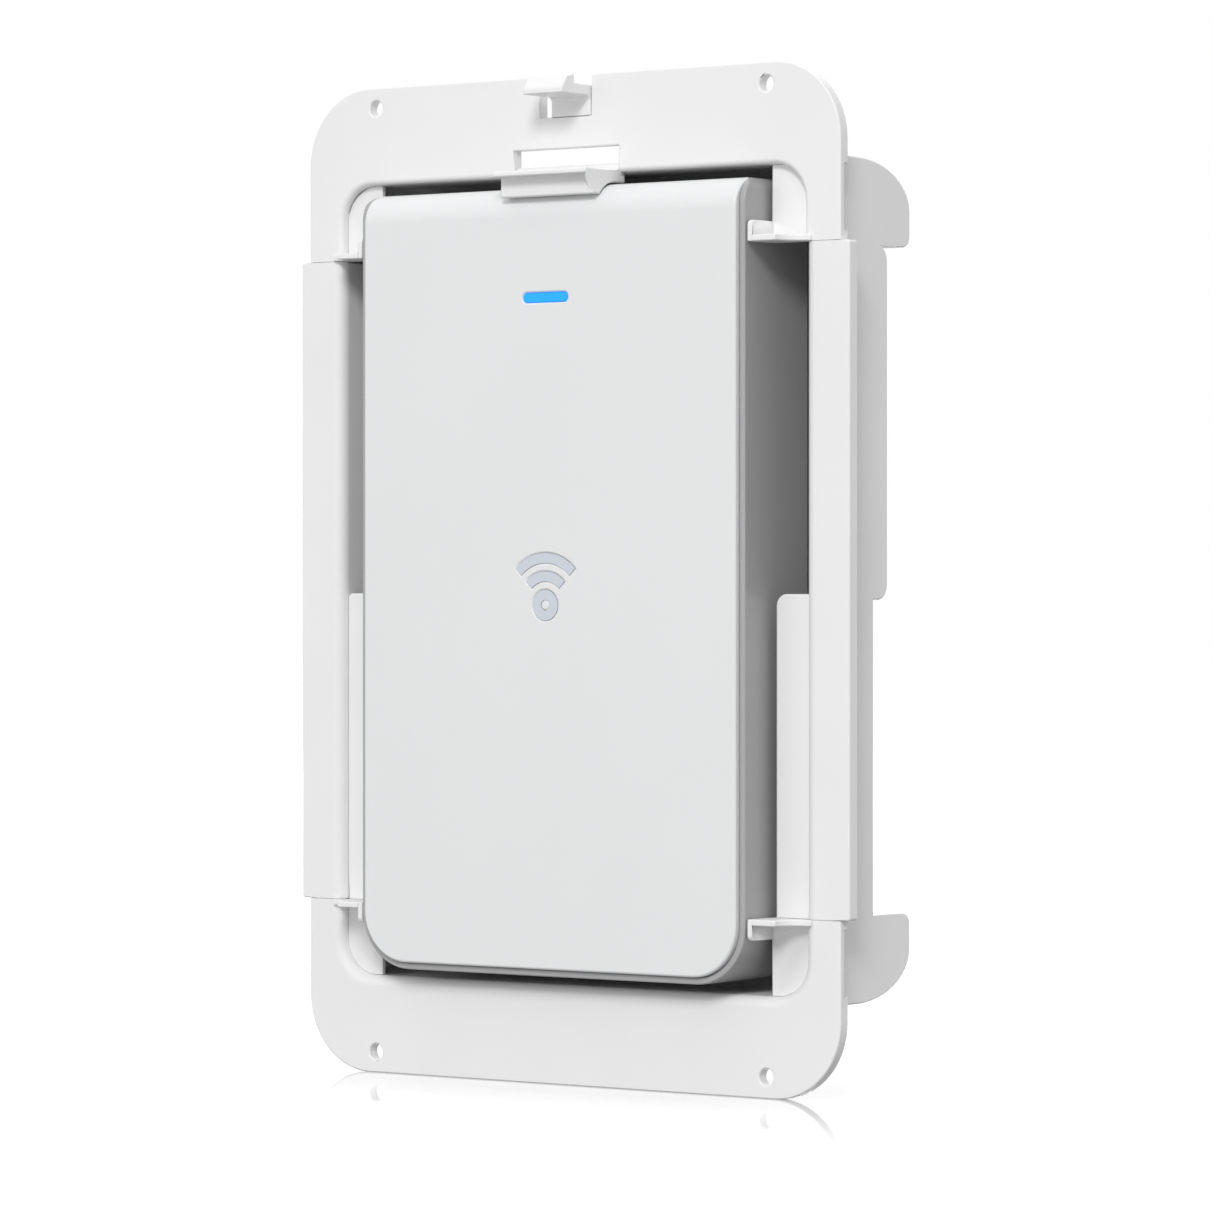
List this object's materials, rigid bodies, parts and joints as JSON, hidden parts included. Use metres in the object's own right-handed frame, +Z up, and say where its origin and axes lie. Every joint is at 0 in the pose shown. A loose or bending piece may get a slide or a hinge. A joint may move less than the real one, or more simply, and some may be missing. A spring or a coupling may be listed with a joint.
{
  "type": "recessed wall access point",
  "caption": "White rectangular wireless access point held in a flush-mount wall frame, with a snap hook over its top edge, a finger tab and a blue light bar.",
  "frame": {"origin": "centre of the four wall screw holes, on the rear face of the flange that lies on the wall", "axes": "+X to the right seen from the front, +Z up, front of the object towards -Y"},
  "size_m": [0.1776, 0.0561, 0.264],
  "materials": {
    "frame_white": "satin",
    "frame_inner": "satin",
    "cover_white": "satin",
    "housing_grey": "satin",
    "light_blue": "gloss",
    "mark_grey": "satin",
    "label_white": "matt",
    "steel": "brushed",
    "tin_plate": "satin",
    "spreader": "cast",
    "board_green": "gloss",
    "contact_gold": "polished",
    "antenna_brass": "satin",
    "carrier_plastic": "matt",
    "pad_pink": "matt",
    "lead_black": "matt",
    "guide_clear": "clear",
    "switch_black": "satin"
  },
  "bodies": {
    "root": {"upper_flange": "frame_white", "lower_flange": "frame_white", "corner_guides": "frame_white", "upper_rear_box": "frame_white", "lower_rear_box": "frame_white", "left_side_wall": "frame_white", "right_side_wall": "frame_white", "left_side_rail": "frame_white", "right_side_rail": "frame_white", "left_filler_strip": "frame_white", "right_filler_strip": "frame_white", "rear_tray": "frame_inner", "tray_screws": "steel", "mounting_bracket": "steel", "bracket_screws": "steel", "front_cover": "cover_white", "light_lens": "light_blue", "front_mark": "mark_grey", "housing_rim": "housing_grey", "rear_cover": "housing_grey", "cable_bay_box": "housing_grey", "label_plate": "label_white", "housing_screws": "steel", "main_board": "board_green", "board_screws": "steel", "ethernet_jack": "tin_plate", "jack_contacts": "contact_gold", "processor_shield": "tin_plate", "radio_shield": "tin_plate", "thermal_pads": "pad_pink", "heat_spreader": "spreader", "antenna_carrier": "carrier_plastic", "low_band_antennas": "antenna_brass", "mid_band_antennas": "antenna_brass", "high_band_antennas": "antenna_brass", "coax_leads": "lead_black", "led_board": "board_green", "light_guide": "guide_clear", "reset_switch": "switch_black"},
    "hook": {"retaining_hook": "frame_white"},
    "tab": {"finger_tab": "frame_white"},
    "latch": {"release_latch": "steel"},
    "button": {"reset_button": "frame_inner"}
  },
  "joints": [
    {"name": "hook_flex", "type": "hinge", "parent": "root", "child": "hook", "pos_m": [0, -0.00175, 0.1068], "axis": [-1, 0, 0], "range_deg": [0, 15], "stiffness_Nm_per_rad": 0.3},
    {"name": "tab_flex", "type": "hinge", "parent": "root", "child": "tab", "pos_m": [0, -0.00145, 0.12], "axis": [1, 0, 0], "range_deg": [-6, 6], "stiffness_Nm_per_rad": 0.3},
    {"name": "latch_flex", "type": "hinge", "parent": "root", "child": "latch", "pos_m": [0, 0.0201, -0.059], "axis": [1, 0, 0], "range_deg": [0, 7], "stiffness_Nm_per_rad": 0.05},
    {"name": "reset_press", "type": "slide", "parent": "root", "child": "button", "axis": [0, -1, 0], "range_m": [0, 0.0006], "stiffness_N_per_m": 300}
  ]
}
